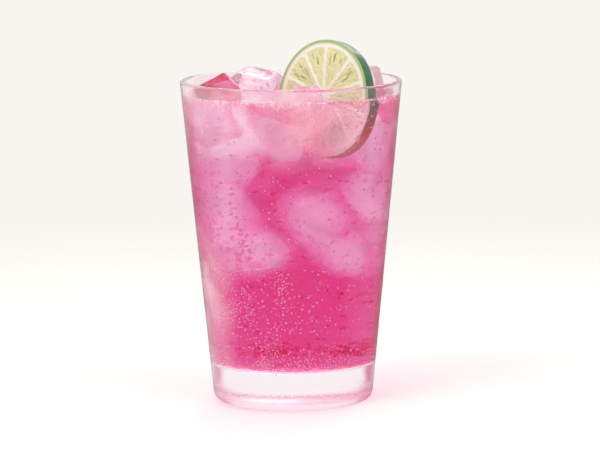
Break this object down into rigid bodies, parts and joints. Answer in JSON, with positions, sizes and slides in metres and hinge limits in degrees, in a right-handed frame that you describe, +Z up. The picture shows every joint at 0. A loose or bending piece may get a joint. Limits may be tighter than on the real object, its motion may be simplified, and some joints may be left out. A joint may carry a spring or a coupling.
{
  "type": "iced fruit drink in a glass tumbler",
  "caption": "Pink iced berry and lime drink in a heavy-based tapered glass tumbler, with a lime wheel standing among ice at the rim.",
  "frame": {"origin": "centre of the foot on the table", "axes": "+Z up through the mouth; the lime wheel's cut face looks towards -Y and turns a little towards -X"},
  "size_m": [0.0898, 0.0898, 0.1475],
  "materials": {
    "glass": "clear pressed soda-lime glass, polished",
    "drink": "clear raspberry-pink sparkling drink",
    "lime": "wet cut lime flesh, white pith and glossy green skin",
    "ice": "melting ice, cloudy inside and wet outside"
  },
  "bodies": {
    "root": {"glass": "glass", "drink": "drink", "lime_wheel": "lime", "ice_left": "ice", "ice_back": "ice", "ice_centre": "ice", "ice_right": "ice", "ice_front": "ice"}
  },
  "joints": []
}
